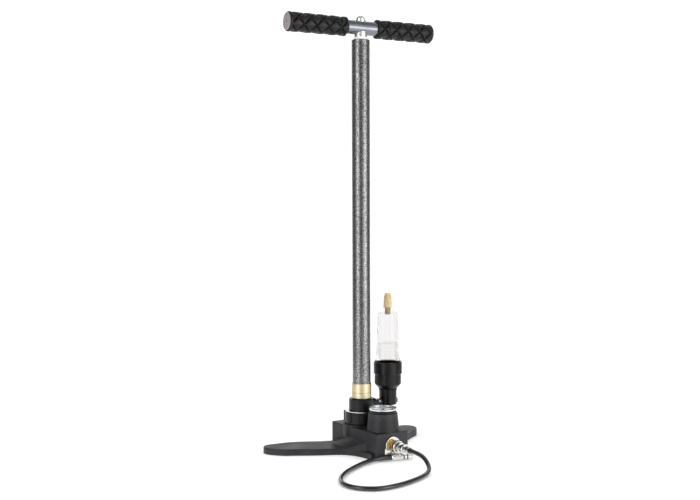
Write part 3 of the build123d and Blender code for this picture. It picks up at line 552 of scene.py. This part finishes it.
def dial_number(value, degrees):
    """A printed number, upright to a reader in front of the pump."""
    text = bpy.data.curves.new("number", "FONT")
    text.body = str(value)
    text.size = NUMBER_SIZE * MM
    text.align_x = "CENTER"
    text.align_y = "CENTER"
    text.extrude = INK_HEIGHT / 2 * MM
    draft = bpy.data.objects.new("number", text)
    bpy.context.scene.collection.objects.link(draft)
    bpy.context.view_layer.update()
    shaped = draft.evaluated_get(bpy.context.evaluated_depsgraph_get())
    mesh = bpy.data.meshes.new_from_object(shaped)
    middle = dial_point(dial_radius - NUMBER_INSET, degrees, INK_HEIGHT / 2)
    mesh.transform(Matrix.Translation(middle))
    mesh.materials.clear()
    mesh.materials.append(MATERIALS["dial_ink"])
    bpy.data.objects.remove(draft)
    place_piece(f"dial_number_{value}", mesh, "pump_body", "dial_white")


for number in range(MARK_COUNT // MARKS_PER_NUMBER + 1):
    turn = SCALE_SWEEP * number * MARKS_PER_NUMBER / MARK_COUNT
    dial_number(number * NUMBER_STEP, ZERO_ANGLE - turn)

needle_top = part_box("gauge_needle")[1][2]


def needle_dome(name, radius, flatness, slot_name):
    """A low dome over the needle's pivot."""
    dome = bmesh.new()
    bmesh.ops.create_uvsphere(dome, u_segments=32, v_segments=16, radius=radius * MM)
    for vertex in dome.verts:
        vertex.co.z = max(vertex.co.z, 0) * flatness
        vertex.co += Vector((dial_centre.x, dial_centre.y, needle_top - DOME_SINK * MM))
    bmesh.ops.remove_doubles(dome, verts=dome.verts, dist=1e-6)
    mesh = bpy.data.meshes.new(name)
    dome.to_mesh(mesh)
    dome.free()
    mesh.shade_smooth()
    mesh.materials.append(MATERIALS[slot_name])
    place_piece(name, mesh, "needle", slot_name)


needle_dome("needle_hub", 2.7, 0.12, "needle_dark")
needle_dome("needle_cap", 1.2, 0.45, "brass")


# ---------------------------------------------------------------- stage and light
FLOOR_SIZE = 60
FLOOR_DROP = 0.0005         # below the pump's underside
CARD_FOOT = 0.001           # above the floor
CARD_TOP = 1.2


def studio_place(bearing, distance, height):
    """A place at a bearing in degrees clockwise of the camera, as seen from the pump tube."""
    angle = azimuth + math.radians(bearing)
    return Vector((-math.sin(angle) * distance, -math.cos(angle) * distance, height))


def soft_box(name, bearing, distance, height, size, power, aim_height=0.3):
    """A soft area light turned to the pump."""
    data = bpy.data.lights.new(name, "AREA")
    data.shape = "RECTANGLE"
    data.size, data.size_y = size
    data.energy = power
    light = bpy.data.objects.new(name, data)
    light.location = studio_place(bearing, distance, height)
    aim = Vector((0, 0, aim_height)) - light.location
    light.rotation_euler = aim.to_track_quat("-Z", "Y").to_euler()
    light.visible_camera = False
    bpy.context.scene.collection.objects.link(light)


def reflected_card(name, corners, grey):
    """A card that shows only in reflections, to give polished and painted metal its dark bands."""
    mesh = bpy.data.meshes.new(name)
    mesh.from_pydata(corners, [], [tuple(range(len(corners)))])
    mesh.materials.append(new_material(name, (grey,) * 3, 0.9)[0])
    card = bpy.data.objects.new(name, mesh)
    bpy.context.scene.collection.objects.link(card)
    card.visible_camera = False
    card.visible_diffuse = False
    card.visible_shadow = False
    return card


def upright_card(name, first_bearing, last_bearing, distance, grey):
    """A card that stands on the floor between two bearings."""
    reflected_card(name, [studio_place(first_bearing, distance, CARD_FOOT),
                          studio_place(last_bearing, distance, CARD_FOOT),
                          studio_place(last_bearing, distance, CARD_TOP),
                          studio_place(first_bearing, distance, CARD_TOP)], grey)


bpy.ops.mesh.primitive_plane_add(size=FLOOR_SIZE, location=(0, 0, -FLOOR_DROP))
floor = bpy.context.object
floor.name = "floor"
floor_material, floor_tree, floor_shader = new_material("floor", (0.95, 0.95, 0.95), 0.8,
                                                        Emission_Strength=0.12)
floor_shader.inputs["Emission Color"].default_value = (1, 1, 1, 1)
floor.data.materials.append(floor_material)

world = bpy.data.worlds.new("studio")
world.use_nodes = True
world.node_tree.nodes["Background"].inputs["Color"].default_value = (1, 1, 1, 1)
world.node_tree.nodes["Background"].inputs["Strength"].default_value = 1.15
bpy.context.scene.world = world

soft_box("left_box", 42, 1.7, 0.4, (0.7, 1.5), 7)
soft_box("right_box", -54, 1.7, 0.4, (0.8, 0.8), 6)
upright_card("front_card", -20, 21, 0.75, 0.03)
upright_card("left_card", 66, 130, 0.8, 0.05)
upright_card("right_card", -78, -130, 0.8, 0.08)
back_card = reflected_card("back_card", [studio_place(140, 0.9, 0.4), studio_place(220, 0.9, 0.4),
                                         studio_place(220, 0.9, 1.25),
                                         studio_place(140, 0.9, 1.25)], 0.5)
back_card.visible_transmission = False
floor_card = reflected_card("floor_card", [studio_place(-22, 0.5, CARD_FOOT),
                                           studio_place(23, 0.5, CARD_FOOT),
                                           studio_place(21, 0.75, CARD_FOOT),
                                           studio_place(-20, 0.75, CARD_FOOT)], 0.1)
floor_card.visible_transmission = False
reflected_card("roof_card", [studio_place(-40, 1.1, CARD_TOP), studio_place(40, 1.1, CARD_TOP),
                             studio_place(110, 0.8, 1.25), studio_place(-110, 0.8, 1.25)], 0.3)
bpy.context.scene.view_settings.view_transform = "Standard"
